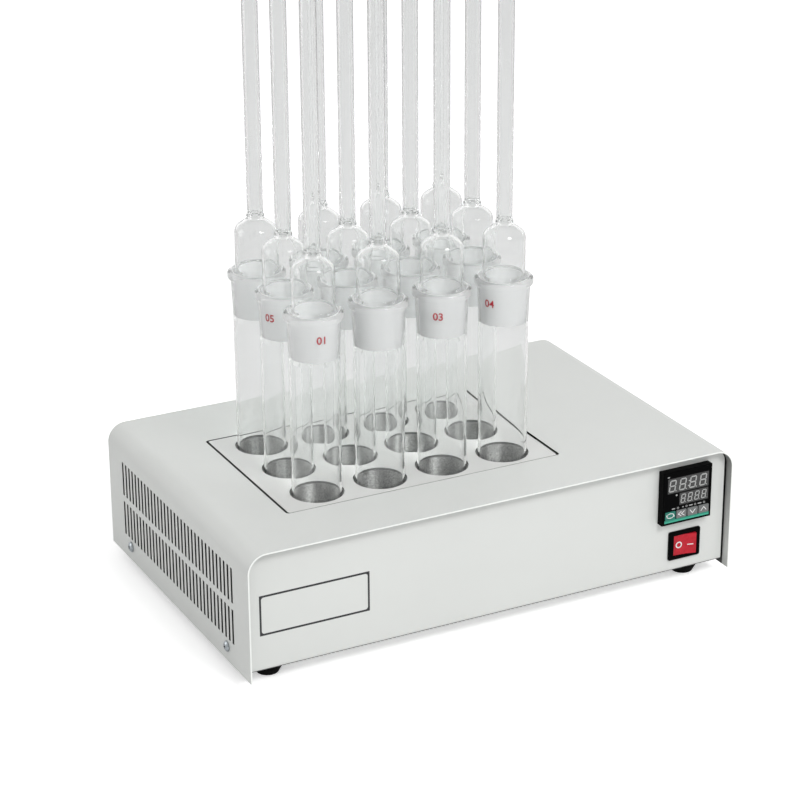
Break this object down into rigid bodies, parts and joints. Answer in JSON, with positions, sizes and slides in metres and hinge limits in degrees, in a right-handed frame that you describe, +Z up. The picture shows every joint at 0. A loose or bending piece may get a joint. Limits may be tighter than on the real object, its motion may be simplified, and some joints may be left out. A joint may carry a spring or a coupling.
{
  "type": "chemical oxygen demand reactor",
  "caption": "Bench heating block in a folded sheet case, holding glass reaction tubes with air condensers in its wells, with a temperature controller and a rocker switch.",
  "frame": {"origin": "middle of the case's footprint on the bench, under the feet", "axes": "+Z up, -Y towards the front panel with the controller, +X to the right seen from the front"},
  "size_m": [0.4502, 0.294, 0.5359],
  "materials": {
    "case_paint": "pale grey-white powder coat, fine orange peel, satin",
    "plate_paint": "pale grey powder coat, satin",
    "block_metal": "machined aluminium, well walls darkened by heat",
    "heater_steel": "plain sheathed heater",
    "tray_steel": "galvanised sheet",
    "insulation_board": "pressed fibre board, matt",
    "clear_glass": "clear borosilicate glass, ground white at the joint",
    "controller_black": "black moulded plastic",
    "controller_face": "smoked face with pale numerals and a green band",
    "key_green": "green key",
    "key_grey": "grey keys",
    "switch_black": "black moulded plastic",
    "rocker_red": "translucent red, white marks",
    "terminal_brass": "plain brass",
    "screw_steel": "bright zinc plate",
    "foot_rubber": "black rubber",
    "sink_aluminium": "extruded aluminium",
    "relay_plastic": "cream moulded plastic",
    "block_plastic": "black moulded plastic",
    "inlet_plastic": "black moulded plastic",
    "pin_metal": "nickel-plated pins"
  },
  "bodies": {
    "root": {"cover": "case_paint", "chassis": "case_paint", "cover_screws": "screw_steel", "foot_front_left": "foot_rubber", "foot_front_right": "foot_rubber", "foot_back_left": "foot_rubber", "foot_back_right": "foot_rubber", "foot_screws": "screw_steel", "well_plate": "plate_paint", "heating_block": "block_metal", "heater_plate": "heater_steel", "heater_terminals": "terminal_brass", "temperature_probe": "heater_steel", "insulation_jacket": "insulation_board", "insulation_base": "insulation_board", "inner_tray": "tray_steel", "tray_pillars": "terminal_brass", "controller_bezel": "controller_black", "controller_face": "controller_face", "controller_housing": "controller_black", "controller_clip": "controller_black", "switch_frame": "switch_black", "switch_terminals": "terminal_brass", "power_inlet": "inlet_plastic", "inlet_pins": "pin_metal", "inlet_screws": "screw_steel", "relay_heat_sink": "sink_aluminium", "relay": "relay_plastic", "terminal_block": "block_plastic", "terminal_screws": "terminal_brass"},
    "tube_01": {"reaction_tube_01": "clear_glass"},
    "condenser_01": {"condenser_01": "clear_glass"},
    "tube_02": {"reaction_tube_02": "clear_glass"},
    "condenser_02": {"condenser_02": "clear_glass"},
    "tube_03": {"reaction_tube_03": "clear_glass"},
    "condenser_03": {"condenser_03": "clear_glass"},
    "tube_04": {"reaction_tube_04": "clear_glass"},
    "condenser_04": {"condenser_04": "clear_glass"},
    "tube_05": {"reaction_tube_05": "clear_glass"},
    "condenser_05": {"condenser_05": "clear_glass"},
    "tube_06": {"reaction_tube_06": "clear_glass"},
    "condenser_06": {"condenser_06": "clear_glass"},
    "tube_07": {"reaction_tube_07": "clear_glass"},
    "condenser_07": {"condenser_07": "clear_glass"},
    "tube_08": {"reaction_tube_08": "clear_glass"},
    "condenser_08": {"condenser_08": "clear_glass"},
    "tube_09": {"reaction_tube_09": "clear_glass"},
    "condenser_09": {"condenser_09": "clear_glass"},
    "tube_10": {"reaction_tube_10": "clear_glass"},
    "condenser_10": {"condenser_10": "clear_glass"},
    "tube_11": {"reaction_tube_11": "clear_glass"},
    "condenser_11": {"condenser_11": "clear_glass"},
    "tube_12": {"reaction_tube_12": "clear_glass"},
    "condenser_12": {"condenser_12": "clear_glass"},
    "set_key": {"set_key": "key_green"},
    "shift_key": {"shift_key": "key_grey"},
    "down_key": {"down_key": "key_grey"},
    "up_key": {"up_key": "key_grey"},
    "rocker": {"switch_rocker": "rocker_red"}
  },
  "joints": [
    {"name": "tube_01_lift", "type": "slide", "parent": "root", "child": "tube_01", "axis": [0, 0, 1], "range_m": [0, 0.08]},
    {"name": "condenser_01_lift", "type": "slide", "parent": "tube_01", "child": "condenser_01", "axis": [0, 0, 1], "range_m": [0, 0.08]},
    {"name": "tube_02_lift", "type": "slide", "parent": "root", "child": "tube_02", "axis": [0, 0, 1], "range_m": [0, 0.08]},
    {"name": "condenser_02_lift", "type": "slide", "parent": "tube_02", "child": "condenser_02", "axis": [0, 0, 1], "range_m": [0, 0.08]},
    {"name": "tube_03_lift", "type": "slide", "parent": "root", "child": "tube_03", "axis": [0, 0, 1], "range_m": [0, 0.08]},
    {"name": "condenser_03_lift", "type": "slide", "parent": "tube_03", "child": "condenser_03", "axis": [0, 0, 1], "range_m": [0, 0.08]},
    {"name": "tube_04_lift", "type": "slide", "parent": "root", "child": "tube_04", "axis": [0, 0, 1], "range_m": [0, 0.08]},
    {"name": "condenser_04_lift", "type": "slide", "parent": "tube_04", "child": "condenser_04", "axis": [0, 0, 1], "range_m": [0, 0.08]},
    {"name": "tube_05_lift", "type": "slide", "parent": "root", "child": "tube_05", "axis": [0, 0, 1], "range_m": [0, 0.08]},
    {"name": "condenser_05_lift", "type": "slide", "parent": "tube_05", "child": "condenser_05", "axis": [0, 0, 1], "range_m": [0, 0.08]},
    {"name": "tube_06_lift", "type": "slide", "parent": "root", "child": "tube_06", "axis": [0, 0, 1], "range_m": [0, 0.08]},
    {"name": "condenser_06_lift", "type": "slide", "parent": "tube_06", "child": "condenser_06", "axis": [0, 0, 1], "range_m": [0, 0.08]},
    {"name": "tube_07_lift", "type": "slide", "parent": "root", "child": "tube_07", "axis": [0, 0, 1], "range_m": [0, 0.08]},
    {"name": "condenser_07_lift", "type": "slide", "parent": "tube_07", "child": "condenser_07", "axis": [0, 0, 1], "range_m": [0, 0.08]},
    {"name": "tube_08_lift", "type": "slide", "parent": "root", "child": "tube_08", "axis": [0, 0, 1], "range_m": [0, 0.08]},
    {"name": "condenser_08_lift", "type": "slide", "parent": "tube_08", "child": "condenser_08", "axis": [0, 0, 1], "range_m": [0, 0.08]},
    {"name": "tube_09_lift", "type": "slide", "parent": "root", "child": "tube_09", "axis": [0, 0, 1], "range_m": [0, 0.08]},
    {"name": "condenser_09_lift", "type": "slide", "parent": "tube_09", "child": "condenser_09", "axis": [0, 0, 1], "range_m": [0, 0.08]},
    {"name": "tube_10_lift", "type": "slide", "parent": "root", "child": "tube_10", "axis": [0, 0, 1], "range_m": [0, 0.08]},
    {"name": "condenser_10_lift", "type": "slide", "parent": "tube_10", "child": "condenser_10", "axis": [0, 0, 1], "range_m": [0, 0.08]},
    {"name": "tube_11_lift", "type": "slide", "parent": "root", "child": "tube_11", "axis": [0, 0, 1], "range_m": [0, 0.08]},
    {"name": "condenser_11_lift", "type": "slide", "parent": "tube_11", "child": "condenser_11", "axis": [0, 0, 1], "range_m": [0, 0.08]},
    {"name": "tube_12_lift", "type": "slide", "parent": "root", "child": "tube_12", "axis": [0, 0, 1], "range_m": [0, 0.08]},
    {"name": "condenser_12_lift", "type": "slide", "parent": "tube_12", "child": "condenser_12", "axis": [0, 0, 1], "range_m": [0, 0.08]},
    {"name": "set_key_press", "type": "slide", "parent": "root", "child": "set_key", "axis": [0, 1, 0], "range_m": [0, 0.0004], "stiffness_N_per_m": 800},
    {"name": "shift_key_press", "type": "slide", "parent": "root", "child": "shift_key", "axis": [0, 1, 0], "range_m": [0, 0.0004], "stiffness_N_per_m": 800},
    {"name": "down_key_press", "type": "slide", "parent": "root", "child": "down_key", "axis": [0, 1, 0], "range_m": [0, 0.0004], "stiffness_N_per_m": 800},
    {"name": "up_key_press", "type": "slide", "parent": "root", "child": "up_key", "axis": [0, 1, 0], "range_m": [0, 0.0004], "stiffness_N_per_m": 800},
    {"name": "rocker_tip", "type": "hinge", "parent": "root", "child": "rocker", "pos_m": [0.181, -0.1396, 0.0366], "axis": [0, 0, 1], "range_deg": [0, 18]}
  ]
}
